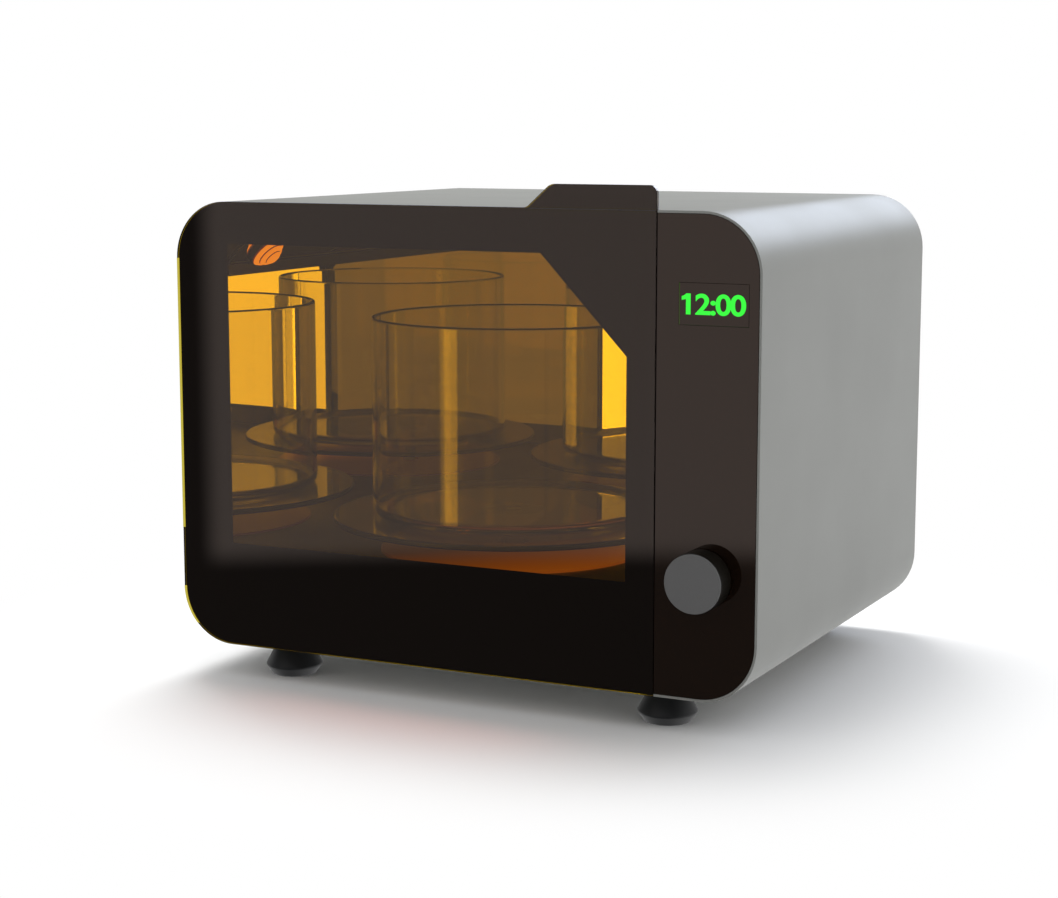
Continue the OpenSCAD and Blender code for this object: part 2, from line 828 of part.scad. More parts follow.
module power_supply() {
    x0 = mirror_x1 + liner_t;
    x1 = x0 + supply_w;
    y0 = front_edge + 57.4;
    y1 = y0 + supply_len;
    z0 = base_top + 6;
    z1 = z0 + supply_h;
    slot_pitch = 10;
    terminals = floor((supply_h - 18) / 10);
    color("silver") in_case() difference() {
        union() {
            span([x0, x1], [y0, y1], [z0, z1]);
            // Terminal block
            span([x0, x0 + 16], [y1, y1 + 12], [z0 + 8, z0 + 12 + terminals * 10]);
        }
        for (y = [y0 + 12 : slot_pitch : y1 - 16]) {
            span([x1 - inner_t, x1 + 1], [y, y + 3], [z0 + 14, z1 - 14]);
        }
        for (i = [0 : terminals - 1]) {
            span([x0 + 3, x0 + 20], [y1 + 4, y1 + 13], [z0 + 10 + i * 10, z0 + 18 + i * 10]);
        }
    }
}

// Back

module back_panel() {
    color("lightgray") in_case() difference() {
        upright(back_y, inner_t) difference() {
            case_outline(sheet_t + fit_gap);
            translate([fan_x, fan_z]) circle(fan_bore_r - 1);
            translate([control_x, inlet_z]) centred(inlet_size, 0);
            translate([control_x, switch_z]) centred(switch_size, fit_gap);
            // Two rows of warm air slots behind the lamp spaces
            for (z = vent_z, i = [0 : vent_count - 1]) {
                translate([table_x + (i - (vent_count - 1) / 2) * vent_pitch, z]) slot(5, 22);
            }
        }
        for (p = fan_holes)
            bar_y(fan_x + p[0], back_y - 1, fan_z + p[1], screw_r + screw_play, inner_t + 2);
        for (p = panel_screws) bar_y(p[0], back_y - 1, p[1], screw_r + screw_play, inner_t + 2);
        for (x = [-inlet_ear, inlet_ear])
            bar_y(control_x + x, back_y - 1, inlet_z, screw_r + screw_play, inner_t + 2);
    }
}

module fan_frame() {
    post_r = 4;
    color([0.1, 0.1, 0.1]) in_case() translate([fan_x, 0, fan_z]) difference() {
        union() {
            upright(fan_y, fan_t) difference() {
                rounded_rect(fan_size, fan_size, 3);
                circle(fan_bore_r);
            }
            bar_y(0, fan_y, 0, rotor_hub_r, 2.5);
            bar_y(0, fan_y, 0, post_r, 6);
            for (i = [0 : 3]) {
                rotate([0, 30 + i * 90, 0])
                    span([rotor_hub_r - 1, fan_bore_r + 0.5], [fan_y, fan_y + 2.5], [-1.5, 1.5]);
            }
        }
        for (p = fan_holes) bar_y(p[0], fan_y - 1, p[1], screw_r, fan_t + 2);
        bar_y(0, fan_y + 1, 0, 1.5 + run_gap, 10);
    }
}

// Cambered blades are cut from tilted tubes and end just inside the fan's bore.
module fan_rotor() {
    depth = fan_t - 5;
    y0 = fan_y + 3.3;
    tip_r = fan_bore_r - 0.8;
    color([0.15, 0.15, 0.15]) in_case() translate([fan_x, y0, fan_z]) rotate([-90, 0, 0]) {
        difference() {
            cylinder(r = rotor_hub_r, h = depth);
            translate([0, 0, -1]) cylinder(r = rotor_hub_r - 1.5, h = depth - 0.5);
        }
        translate([0, 0, -1.8]) cylinder(r = 1.5, h = depth + 0.8);
        for (i = [0 : blade_count - 1]) {
            rotate(i * 360 / blade_count) intersection() {
                difference() {
                    cylinder(r = tip_r, h = depth);
                    translate([0, 0, -1]) cylinder(r = rotor_hub_r - 0.4, h = depth + 2);
                }
                translate([0, -14, depth + 12.5]) rotate([0, 90, 0]) difference() {
                    cylinder(r = 20, h = tip_r);
                    translate([0, 0, -1]) cylinder(r = 18.8, h = tip_r + 2);
                }
                translate([0, -7, 0.3]) cube([tip_r, 15, depth - 0.6]);
            }
        }
    }
}

module fan_guard() {
    wire_r = 0.8;
    rings = 3;
    inner_r = fan_size * 0.18;
    y = back_y + inner_t + wire_r;
    color("gainsboro") in_case() translate([fan_x, y, fan_z]) rotate([-90, 0, 0]) {
        for (i = [0 : rings - 1]) {
            rotate_extrude() translate([inner_r + i * (fan_bore_r - 2 - inner_r) / (rings - 1), 0])
                circle(wire_r, $fn = 16);
        }
        for (p = fan_holes) {
            a = atan2(p[1], p[0]);
            difference() {
                union() {
                    rotate(a) translate([inner_r - 1, 0, -0.2]) rotate([0, 90, 0])
                        cylinder(r = wire_r * 0.7, h = norm(p) - inner_r - 1, $fn = 16);
                    translate([p[0], p[1], -wire_r]) cylinder(r = 3.4, h = 2 * wire_r);
                }
                translate([p[0], p[1], -wire_r - 1]) cylinder(r = screw_r + screw_play, h = 6);
            }
        }
    }
}

module mains_inlet() {
    rear = back_y + inner_t;
    color("black") in_case() translate([control_x, 0, inlet_z]) {
        difference() {
            union() {
                upright(rear, 2) difference() {
                    rounded_rect(2 * inlet_ear + 10, inlet_size[1] + 3, 4);
                    for (x = [-inlet_ear, inlet_ear]) translate([x, 0]) circle(screw_r + screw_play);
                }
                upright(rear - inlet_depth, inlet_depth) centred(inlet_size, -fit_gap);
            }
            upright(rear - inlet_depth + 2, inlet_depth + 2) centred(inlet_cavity, 0);
        }
        // Three blades
        for (p = [[-7, -2], [7, -2], [0, 2]]) {
            span([p[0] - 1, p[0] + 1], [rear - inlet_depth + 1.5, rear - 0.5], [p[1] - 2, p[1] + 2]);
        }
    }
}

module switch_bezel() {
    rear = back_y + inner_t;
    color("black") in_case() translate([control_x, 0, switch_z]) difference() {
        union() {
            upright(rear, 2) rounded_rect(switch_size[0] + 2.4, switch_size[1] + 2.4, 1.2);
            upright(rear - 16, 16) centred(switch_size, 0);
        }
        upright(rear - 9, 12) centred(switch_size, -1.3);
        bar_x(-switch_size[0] / 2 + 0.5, rear - 2, 0, rocker_pin_r + run_gap, switch_size[0] - 1);
    }
}

module power_rocker() {
    rear = back_y + inner_t;
    w = switch_size[0] - 3.4;
    pin = switch_size[0] - 1.6;
    end = switch_size[1] / 2 - 2.2;
    color([0.1, 0.1, 0.1]) in_case() translate([control_x, rear - 2, switch_z]) {
        rotate([rocker_tilt, 0, 0]) translate([-w / 2, 0, 0]) rotate([90, 0, 90]) linear_extrude(w)
            polygon([[-2.5, -2], [-2.5, 2], [0.5, end + 0.3], [4.2, end], [2.6, 0], [4.2, -end],
                     [0.5, -end - 0.3]]);
        bar_x(-pin / 2, 0, 0, rocker_pin_r, pin);
    }
}

// Feet

module foot(index) {
    p = feet[index];
    top_r = 11.5;
    base_r = 14.5;
    waist_z = foot_h - 14.8;
    color([0.08, 0.08, 0.09]) translate([p[0], p[1] + front_y, 0]) difference() {
        rotate_extrude() polygon([
            [0, 0], [base_r - 0.6, 0], [base_r, 0.6], [foot_r, waist_z - 0.8], [foot_r, waist_z + 0.4],
            [top_r + 0.4, foot_h - 2], [top_r, foot_h], [0, foot_h]
        ]);
        translate([0, 0, -1]) cylinder(r = foot_screw_head + 1, h = 7);
        cylinder(r = foot_screw_r + 0.1, h = foot_h + 1);
    }
}

module foot_front_left() {
    foot(0);
}

module foot_front_right() {
    foot(1);
}

module foot_rear_left() {
    foot(2);
}

module foot_rear_right() {
    foot(3);
}

module foot_screws() {
    color("silver") for (p = feet) translate([p[0], p[1] + front_y, 6]) {
        translate([0, 0, -2.4]) cylinder(r = foot_screw_head, h = 2.4);
        cylinder(r = foot_screw_r, h = foot_h + base_top - 3);
        // Lock nut above the base plate
        translate([0, 0, foot_h + base_top - 6]) cylinder(r = 4, h = 3.2, $fn = 6);
    }
}

// Door and hinges

// One knuckle around the hinge axis, from z0 to z1.
module knuckle(z0, z1) {
    translate([hinge_x, hinge_y, z0]) difference() {
        children();
        translate([0, 0, -1]) cylinder(r = pin_r + run_gap, h = z1 - z0 + 2, $fn = 32);
    }
}

module hinge_case_leaves() {
    wall = sheet_t - case_w / 2;
    color("gray") in_case() for (z = hinge_zs) {
        for (side = [-1, 1]) {
            z0 = side < 0 ? z - hinge_len / 2 : z + middle_knuckle / 2;
            len = (hinge_len - middle_knuckle) / 2;
            knuckle(z0, z0 + len) union() {
                cylinder(r = knuckle_r, h = len);
                span([wall - hinge_x, wall - hinge_x + leaf_t], [0, knuckle_r + hinge_room + 1], [0, len]);
            }
        }
        span([wall, wall + leaf_t], [hinge_y + knuckle_r + hinge_room, hinge_y + leaf_reach - 2],
             [z - hinge_len / 2, z + hinge_len / 2]);
    }
}

module hinge_door_leaves() {
    back = door_t + mask_t;
    color("gray") in_case() for (z = hinge_zs) {
        z0 = z - middle_knuckle / 2 + knuckle_gap;
        len = middle_knuckle - 2 * knuckle_gap;
        knuckle(z0, z0 + len) union() {
            cylinder(r = knuckle_r, h = len);
            span([0, 3], [back - hinge_y, 0], [0, len]);
        }
        span([hinge_x + 1.8, hinge_x + leaf_w], [back, back + leaf_t],
             [z - hinge_len / 2, z + hinge_len / 2]);
    }
}

module hinge_pins() {
    color("silver") in_case() for (z = hinge_zs) {
        translate([hinge_x, hinge_y, z - hinge_len / 2 - 0.5]) {
            cylinder(r = pin_r, h = hinge_len + 0.5);
            cylinder(r = pin_r + 0.6, h = 0.5);
        }
    }
}

module door_plate() {
    color("goldenrod") in_case() upright(0, door_t) door_outline(0);
}

module door_mask() {
    color([0.1, 0.09, 0.08]) in_case() upright(door_t, mask_t) difference() {
        door_outline(mask_inset);
        window_outline();
    }
}

module strike_plate() {
    y0 = door_t + mask_t;
    color("silver") in_case() span([catch_x + fit_gap, catch_x + catch_w - fit_gap],
        [y0, y0 + strike_t], [catch_z0 + 2, catch_z1 - 2]);
}

module magnet_catch() {
    y0 = door_t + mask_t + strike_t + 0.3;
    y1 = frame_back + inner_t;
    color("dimgray") in_case() {
        span([catch_x + fit_gap, catch_x + catch_w - fit_gap], [y0, y1 + 3],
             [catch_z0 + fit_gap, catch_z1 - fit_gap]);
        span([mirror_x1 + liner_t + fit_gap, catch_x + catch_w + 3], [y1, y1 + inner_t],
             [catch_z0 - 6, catch_z1 + 6]);
    }
}

module back_panel_screws() {
    rear = back_y + inner_t;
    color("silver") in_case() {
        for (p = panel_screws) {
            bar_y(p[0], back_y - 4, p[1], screw_r, inner_t + 4);
            bar_y(p[0], rear, p[1], screw_head_r, 1.6);
        }
        for (p = fan_holes) {
            bar_y(fan_x + p[0], back_y - 6, fan_z + p[1], screw_r - 0.1, 9.1);
            bar_y(fan_x + p[0], rear + 1.6, fan_z + p[1], screw_head_r, 1.4);
        }
        for (x = [-inlet_ear, inlet_ear]) {
            bar_y(control_x + x, back_y - 4, inlet_z, screw_r, inner_t + 6);
            bar_y(control_x + x, rear + 2, inlet_z, screw_head_r, 1.4);
        }
    }
}

outer_shell();
back_panel();
chassis_base();
front_frame();
partition_wall();
liner_left();
liner_back();
liner_roof();
chamber_floor();
door_seal();
mirror_left();
mirror_right();
mirror_back();
mirror_roof();
mirror_slope_left();
mirror_slope_right();
mirror_rails();
lower_lens();
lower_led_board();
lower_heat_sink();
upper_lens();
upper_led_board();
upper_heat_sink();
turntable_motor();
motor_shaft();
drive_hub();
turntable_plate();
glass_jar();
control_panel();
display_lens();
display_module();
control_board();
board_posts();
encoder_body();
encoder_plunger();
encoder_shaft();
knob_body();
knob_cap();
power_supply();
fan_frame();
fan_rotor();
fan_guard();
mains_inlet();
switch_bezel();
power_rocker();
foot_front_left();
foot_front_right();
foot_rear_left();
foot_rear_right();
foot_screws();
hinge_case_leaves();
hinge_door_leaves();
hinge_pins();
door_plate();
door_mask();
magnet_catch();
strike_plate();
back_panel_screws();
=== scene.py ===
import bpy
import bmesh
import json
import math
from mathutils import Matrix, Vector


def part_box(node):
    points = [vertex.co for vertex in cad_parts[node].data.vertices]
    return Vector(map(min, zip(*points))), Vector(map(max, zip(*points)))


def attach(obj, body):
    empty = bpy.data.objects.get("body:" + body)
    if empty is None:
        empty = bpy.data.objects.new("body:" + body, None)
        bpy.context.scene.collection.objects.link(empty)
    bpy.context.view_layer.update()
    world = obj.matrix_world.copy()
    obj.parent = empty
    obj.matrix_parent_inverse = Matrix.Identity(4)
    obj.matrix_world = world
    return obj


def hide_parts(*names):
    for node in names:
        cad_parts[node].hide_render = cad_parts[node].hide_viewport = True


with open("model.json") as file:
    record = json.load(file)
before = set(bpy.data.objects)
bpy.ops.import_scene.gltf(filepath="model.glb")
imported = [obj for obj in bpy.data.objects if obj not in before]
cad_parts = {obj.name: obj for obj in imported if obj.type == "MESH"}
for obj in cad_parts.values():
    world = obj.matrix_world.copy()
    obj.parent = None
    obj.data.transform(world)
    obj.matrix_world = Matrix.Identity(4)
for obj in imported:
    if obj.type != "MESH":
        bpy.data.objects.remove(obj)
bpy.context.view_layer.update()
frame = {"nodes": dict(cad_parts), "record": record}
nodes = frame["nodes"]
print("frame loaded:", len(nodes), "nodes")

mm = 0.001

# Places that several pieces share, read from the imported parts
doorLow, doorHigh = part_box("door_plate")
shellLow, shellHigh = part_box("outer_shell")
displayLow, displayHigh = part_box("display_lens")
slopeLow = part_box("mirror_slope_left")[0]
doorFront = doorLow.y
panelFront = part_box("control_panel")[0].y
caseBottom = shellLow.z
caseTop = shellHigh.z


# sRGB hex to linear
def linear(code):
    out = []
    for i in (0, 2, 4):
        c = int(code.strip("#")[i:i + 2], 16) / 255
        out.append(c / 12.92 if c <= 0.04045 else ((c + 0.055) / 1.055) ** 2.4)
    return (*out, 1.0)


def addNode(tree, kind, inputs=None, **settings):
    node = tree.nodes.new(kind)
    for name, value in settings.items():
        setattr(node, name, value)
    for name, value in (inputs or {}).items():
        if isinstance(value, bpy.types.NodeSocket):
            tree.links.new(value, node.inputs[name])
        else:
            node.inputs[name].default_value = value
    return node


def newMaterial(name):
    mat = bpy.data.materials.new(name)
    mat.use_nodes = True
    mat.node_tree.nodes.clear()
    return mat, mat.node_tree


def finishMaterial(mat, tree, shader):
    addNode(tree, "ShaderNodeOutputMaterial", {"Surface": shader})
    return mat


# What all painted, moulded and plated finishes share: the size of their soft patches and the height of
# their grain in millimetres, the share by which the patches change the gloss, and the stretch of the
# noise that is used
surface = {"patchSize": 83.3, "grainHeight": 0.02, "glossChange": 0.08, "noise": (0.3, 0.7), "detail": 3.0}


# A painted, moulded or plated finish: grain in its height, and soft patches in its colour and gloss.
# grainSize is in millimetres.
def plainFinish(name, color, rough, grain=0.0, grainSize=1.0, metallic=0.0, ior=1.5, patch=0.06,
                gleam="#FFFFFF"):
    mat, tree = newMaterial(name)
    low, high = surface["noise"]
    place = addNode(tree, "ShaderNodeTexCoord").outputs["Object"]
    fine = addNode(tree, "ShaderNodeTexNoise", {"Vector": place, "Scale": 1 / (grainSize * mm),
                   "Detail": surface["detail"]})
    wide = addNode(tree, "ShaderNodeTexNoise", {"Vector": place, "Scale": 1 / (surface["patchSize"] * mm),
                   "Detail": surface["detail"]})
    gloss = addNode(tree, "ShaderNodeMapRange", {"Value": wide.outputs["Fac"], "From Min": low,
                    "From Max": high, "To Min": rough * (1 - surface["glossChange"]),
                    "To Max": min(1.0, rough * (1 + surface["glossChange"]))})
    shade = addNode(tree, "ShaderNodeMapRange", {"Value": fine.outputs["Fac"], "From Min": low,
                    "From Max": high, "To Min": 1 - patch, "To Max": 1 + patch})
    tint = addNode(tree, "ShaderNodeVectorMath", {0: linear(color)[:3], "Scale": shade.outputs["Result"]},
                   operation="SCALE")
    bump = addNode(tree, "ShaderNodeBump", {"Height": fine.outputs["Fac"], "Strength": grain,
                   "Distance": surface["grainHeight"] * mm})
    body = addNode(tree, "ShaderNodeBsdfPrincipled", {"Base Color": tint.outputs["Vector"],
                   "Metallic": metallic, "Roughness": gloss.outputs["Result"], "IOR": ior,
                   "Specular Tint": linear(gleam), "Normal": bump.outputs["Normal"]})
    return finishMaterial(mat, tree, body.outputs["BSDF"])


# Clear or tinted glass and acrylic, which lets the lamps through to what it covers
def clearFinish(name, color, rough, ior, shadow, gleam="#FFFFFF"):
    mat, tree = newMaterial(name)
    body = addNode(tree, "ShaderNodeBsdfPrincipled", {"Base Color": linear(color), "Roughness": rough,
                   "IOR": ior, "Transmission Weight": 1.0, "Specular Tint": linear(gleam)})
    through = addNode(tree, "ShaderNodeBsdfTransparent", {"Color": linear(shadow)})
    path = addNode(tree, "ShaderNodeLightPath")
    both = addNode(tree, "ShaderNodeMixShader", {0: path.outputs["Is Shadow Ray"],
                   1: body.outputs["BSDF"], 2: through.outputs["BSDF"]})
    return finishMaterial(mat, tree, both.outputs["Shader"])


# Segments, edges and lenses that shine by themselves
def glowFinish(name, color, glow, strength, rough=0.4):
    mat, tree = newMaterial(name)
    body = addNode(tree, "ShaderNodeBsdfPrincipled", {"Base Color": linear(color), "Roughness": rough,
                   "Emission Color": linear(glow), "Emission Strength": strength})
    return finishMaterial(mat, tree, body.outputs["BSDF"])


# The lower lamp's lens, which glows more towards its front right
lensGlow = {"from": -30 * mm, "to": 110 * mm, "low": 0.04, "high": 0.42, "rough": 0.3}


def lampFinish(name, color, glow):
    mat, tree = newMaterial(name)
    place = addNode(tree, "ShaderNodeTexCoord").outputs["Object"]
    spot = addNode(tree, "ShaderNodeSeparateXYZ", {0: place})
    slant = addNode(tree, "ShaderNodeMath", {0: spot.outputs["X"], 1: spot.outputs["Y"]},
                    operation="SUBTRACT")
    level = addNode(tree, "ShaderNodeMapRange", {"Value": slant.outputs[0], "From Min": lensGlow["from"],
                    "From Max": lensGlow["to"], "To Min": lensGlow["low"], "To Max": lensGlow["high"]})
    body = addNode(tree, "ShaderNodeBsdfPrincipled", {"Base Color": linear(color),
                   "Roughness": lensGlow["rough"], "Emission Color": linear(glow),
                   "Emission Strength": level.outputs["Result"]})
    return finishMaterial(mat, tree, body.outputs["BSDF"])


# Tinted acrylic reflects a little warmer than the white it mirrors
warmGleam = "#FFE7DB"

# Real mould and spray grain is too fine to show at this distance, so it is drawn 0.4 to 2 mm wide
finishes = {
    # Sprayed with metal flake: a satin sheen that runs softly round the case's edges
    "case_paint": plainFinish("satin silver paint", "#868783", 0.42, 0.2, 0.5, metallic=0.1, patch=0.02),
    # Zinc coat on steel: pale grey metal with broad, faint patches
    "zinc_steel": plainFinish("zinc plated sheet", "#A5A8AA", 0.38, 0.1, 2.0, metallic=1.0),
    # Baked powder: deep black with a dry, even sheen
    "black_steel": plainFinish("black powder coat", "#0B0B0B", 0.5, 0.2, 0.5),
    # Fired enamel: darker and glossier than powder
    "dark_steel": plainFinish("dark enamelled sheet", "#0B0A09", 0.35, 0.1, 0.8),
    # Moulded seal: nearly no sheen
    "black_rubber": plainFinish("moulded rubber", "#060606", 0.7, 0.3, 0.6),
    # Silvered behind polished glass: sharp images, dimmed a little each time
    "mirror_glass": plainFinish("silvered glass", "#FAFAF7", 0.0, 0.0, 1.0, metallic=1.0, patch=0.0),
    # Textured mould: soft black, with no clear highlight
    "black_plastic": plainFinish("moulded black plastic", "#101011", 0.5, 0.3, 0.5),
    # Diffusing sheet over lit diodes: dark brown where the light falls off
    "orange_lens": lampFinish("lit orange diffuser", "#241C12", "#B8682C"),
    # Milky sheet of the lamp that is off
    "white_lens": plainFinish("opal acrylic", "#E0E0DA", 0.3),
    # Printed mask: flat white with a light gloss
    "led_board": plainFinish("white solder mask", "#DADBD8", 0.4),
    # Extruded or folded and left bare: pale metal with a dull sheen
    "heat_sink": plainFinish("plain aluminium", "#B8BABC", 0.4, 0.1, 1.0, metallic=1.0),
    # Turned or drawn and left bright: a tight highlight
    "bright_steel": plainFinish("turned steel", "#B4B5B8", 0.28, 0.1, 0.6, metallic=1.0),
    # Moulded and left bare: off-white and a little waxy
    "white_plastic": plainFinish("moulded acetal", "#D8D8D2", 0.45),
    # Blown and fire-polished: clear, with dark lines where a wall is seen edge-on
    "clear_glass": clearFinish("borosilicate glass", "#FAFAF8", 0.0, 1.52, "#F4F6F4"),
    # Polished sheet over black: mirrors the room on a brownish black
    "gloss_black": plainFinish("polished black acrylic", "#120904", 0.03, ior=1.49, gleam=warmGleam),
    "smoked_lens": plainFinish("smoked acrylic", "#120904", 0.03, ior=1.49, gleam=warmGleam),
    # Printed mask over copper: glossy green
    "circuit_board": plainFinish("green solder mask", "#145230", 0.4),
    # Turned and left bare: yellow metal with a tight highlight
    "brass_post": plainFinish("turned brass", "#C9A35A", 0.3, metallic=1.0),
    # Fine mould texture: a soft dark ring behind the knob's cap
    "knob_black": plainFinish("satin black plastic", "#14110C", 0.4, 0.2, 0.4),
    # Dyed and anodised: an even mid grey that hardly shines
    "knob_grey": plainFinish("anodised cap", "#5E5E5E", 0.45, 0.15, 0.4),
    # Polished mould: the rocker catches a sharp light
    "rocker_black": plainFinish("gloss black plastic", "#0A0A0A", 0.2),
    # Filled rubbery plastic: dark grey, dry
    "foot_black": plainFinish("moulded feet", "#16171A", 0.55, 0.2, 0.6),
    # Cast sheet, dyed through: passes yellow light and reflects like glass
    "amber_acrylic": clearFinish("amber acrylic", "#FFD500", 0.0, 1.49, "#F2B24A", gleam=warmGleam),
    # Printed on the back of the amber sheet: black without a sheen of its own
    "door_black": plainFinish("black backing", "#020202", 0.6, patch=0.0),
}

# The turntable plate is grey float glass, darker than the jar of its slot. Its ground rim is painted
# near-black as painted shade, which stands in for how the glass edge looks black from the side
finishOf = {"turntable_plate": clearFinish("grey turntable glass", "#C0BEB8", 0.0, 1.52, "#C0BEB8")}
rimShade = plainFinish("glass rim painted shade", "#12120E", 0.45, 0.2, 0.3)

slotOf = {part["node"]: part["material_slot"] for part in frame["record"]["subparts"]}
bodyOf = {}
for bodyName, members in frame["record"]["behaviour"]["bodies"].items():
    for member in members:
        bodyOf[member] = bodyName
for name, obj in nodes.items():
    obj.data.materials.clear()
    obj.data.materials.append(finishOf.get(name, finishes[slotOf[name]]))
print("finishes set:", len(finishes))

# Edges that are broken by a small round, in millimetres. Angles are in degrees: a bend over "edge" is
# rounded, one over "crease" stays a crease, and one under "flat" is merged into its face.
rounds = {"outer_shell": 0.25, "control_panel": 0.2, "door_plate": 0.3, "knob_body": 0.4, "knob_cap": 0.15,
          "foot_front_left": 0.5, "foot_front_right": 0.5, "foot_rear_left": 0.5, "foot_rear_right": 0.5,
          "turntable_plate": 0.3, "mains_inlet": 0.3, "switch_bezel": 0.3, "power_rocker": 0.3,
          "fan_frame": 0.3}
edging = {"edge": 28, "crease": 40, "flat": 0.6, "steps": 2, "weld": 0.002 * mm}


# The same solid with its sharp edges broken, and smooth shading in between
def dress(name, width):
    work = bmesh.new()
    work.from_mesh(nodes[name].data)
    bmesh.ops.remove_doubles(work, verts=work.verts, dist=edging["weld"])
    bmesh.ops.dissolve_limit(work, angle_limit=math.radians(edging["flat"]), verts=work.verts,
                             edges=work.edges)
    limit = math.radians(edging["edge"])
    sharp = [e for e in work.edges if len(e.link_faces) == 2 and e.calc_face_angle() > limit]
    bmesh.ops.bevel(work, geom=sharp, offset=width, offset_type="OFFSET", segments=edging["steps"],
                    profile=0.5, affect="EDGES", clamp_overlap=True)
    for face in work.faces:
        face.smooth = True
    for line in work.edges:
        if len(line.link_faces) == 2:
            line.smooth = line.calc_face_angle() < math.radians(edging["crease"])
    mesh = bpy.data.meshes.new(name + "_dressed")
    work.to_mesh(mesh)
    work.free()
    piece = bpy.data.objects.new(name + "_dressed", mesh)
    bpy.context.scene.collection.objects.link(piece)
    mesh.materials.append(finishOf.get(name, finishes[slotOf[name]]))
    flat = piece.modifiers.new("keep flat faces flat", "WEIGHTED_NORMAL")
    flat.weight = 100
    flat.keep_sharp = True
    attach(piece, bodyOf.get(name, "root"))
    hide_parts(name)
    return piece


dressed = {name: dress(name, width * mm) for name, width in rounds.items()}
plate = dressed["turntable_plate"].data
# The plate's side faces take the rim's near-black painted shade
plate.materials.append(rimShade)
for face in plate.polygons:
    face.material_index = 1 if abs(face.normal.z) < 0.5 else 0
print("edges broken on", len(dressed), "pieces")

# Camera at the photograph's angle, in degrees round the object and down from level. It stands in metres
# to the right of the middle, in front of the door and above the case's underside.
shot = {"right": 0.63011, "front": 1.16959, "above": 0.33929, "round": 26.256, "down": 8.526,
        "lens": 74.46, "film": 36}
cameraData = bpy.data.cameras.new("camera")
cameraData.lens = shot["lens"]
cameraData.sensor_width = shot["film"]
camera = bpy.data.objects.new("camera", cameraData)
camera.location = (shot["right"], doorFront - shot["front"], caseBottom + shot["above"])
camera.rotation_euler = (math.radians(90 - shot["down"]), 0, math.radians(shot["round"]))
bpy.context.scene.collection.objects.link(camera)
bpy.context.scene.camera = camera
print("camera set")


def addPiece(name, mesh, mat, body):
    obj = bpy.data.objects.new(name, mesh)
    bpy.context.scene.collection.objects.link(obj)
    mesh.materials.append(mat)
    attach(obj, body)
    return obj


# A thin bar between two corners
def bar(low, high):
    mesh = bpy.data.meshes.new("bar")
    work = bmesh.new()
    bmesh.ops.create_cube(work, size=1)
    for v in work.verts:
        v.co = Vector([(low[i] + high[i]) / 2 + v.co[i] * (high[i] - low[i]) for i in range(3)])
    work.to_mesh(mesh)
    work.free()
    return mesh


# Display: four digits with a colon. Weight, gap and depth are in the font's own units, and flatten brings
# the depth down to a printed layer.
digits = {"text": "12:00", "height": 12.4 * mm, "left": 4.2 * mm, "width": 36.9 * mm, "proud": 0.05 * mm,
          "weight": 0.024, "gap": 0.92, "depth": 0.002, "flatten": 0.02}
greenGlow = glowFinish("lit green segments", "#0A200A", "#34F83C", 1.05)  # as bright as its colour
data = bpy.data.curves.new("digits", "FONT")
data.body = digits["text"]
data.offset = digits["weight"]
data.extrude = digits["depth"]
data.space_character = digits["gap"]
data.materials.append(greenGlow)
text = bpy.data.objects.new("digits", data)
bpy.context.scene.collection.objects.link(text)
bpy.context.view_layer.update()
corners = [Vector(c) for c in text.bound_box]
low = Vector([min(c[i] for c in corners) for i in range(3)])
high = Vector([max(c[i] for c in corners) for i in range(3)])
text.scale = (digits["width"] / (high.x - low.x), digits["height"] / (high.y - low.y), digits["flatten"])
text.rotation_euler = (math.radians(90), 0, 0)
digitsLeft = displayLow.x + digits["left"]
digitsMiddle = (displayLow.z + displayHigh.z) / 2
text.location = (digitsLeft - low.x * text.scale[0], panelFront - digits["proud"],
                 digitsMiddle - (low.y + high.y) / 2 * text.scale[1])
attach(text, "root")

# The flag at the top of the figure one, which the built-in font leaves out. Its outline is in millimetres
# from the top left corner of the stem, and it stands between the two distances from the panel's front.
flag = {"outline": [(0.4, 0), (0.4, -3.4), (-2.7, -4.0), (-2.7, -1.9), (-1.0, -1.1)],
        "proud": (0.07, 0.02)}
digitsTop = digitsMiddle + digits["height"] / 2
flagPoints = [(digitsLeft + x * mm, panelFront - y * mm, digitsTop + z * mm)
              for y in flag["proud"] for x, z in flag["outline"]]
count = len(flag["outline"])
flagFaces = [tuple(range(count)), tuple(range(2 * count - 1, count - 1, -1))]
flagFaces += [(i, i + count, (i + 1) % count + count, (i + 1) % count) for i in range(count)]
flagMesh = bpy.data.meshes.new("digit_flag")
flagMesh.from_pydata(flagPoints, [], flagFaces)
addPiece("digit_flag", flagMesh, greenGlow, "root")

# Painted light: thin self-lit strips along two edges of the display's lens stand in for the display's light
# leaking there
paintedEdgeLight = {"line": 0.22 * mm, "proud": 0.03 * mm, "sunk": 0.1 * mm, "start": 3 * mm}
leftGlow = glowFinish("painted light at the display edge", "#101008", "#4E7A1E", 0.55)  # green, half as bright
lowGlow = glowFinish("faint painted light at the display edge", "#101008", "#3A4A1E", 0.25)  # barely seen
edgeLeft = bar((displayLow.x, panelFront - paintedEdgeLight["proud"], displayLow.z),
               (displayLow.x + paintedEdgeLight["line"], panelFront + paintedEdgeLight["sunk"], displayHigh.z))
edgeLow = bar((displayLow.x + paintedEdgeLight["start"], panelFront - paintedEdgeLight["proud"], displayLow.z),
              (displayHigh.x, panelFront + paintedEdgeLight["sunk"], displayLow.z + paintedEdgeLight["line"]))
addPiece("display_edge_painted_light_left", edgeLeft, leftGlow, "root")
addPiece("display_edge_painted_light_low", edgeLow, lowGlow, "root")
print("display made")

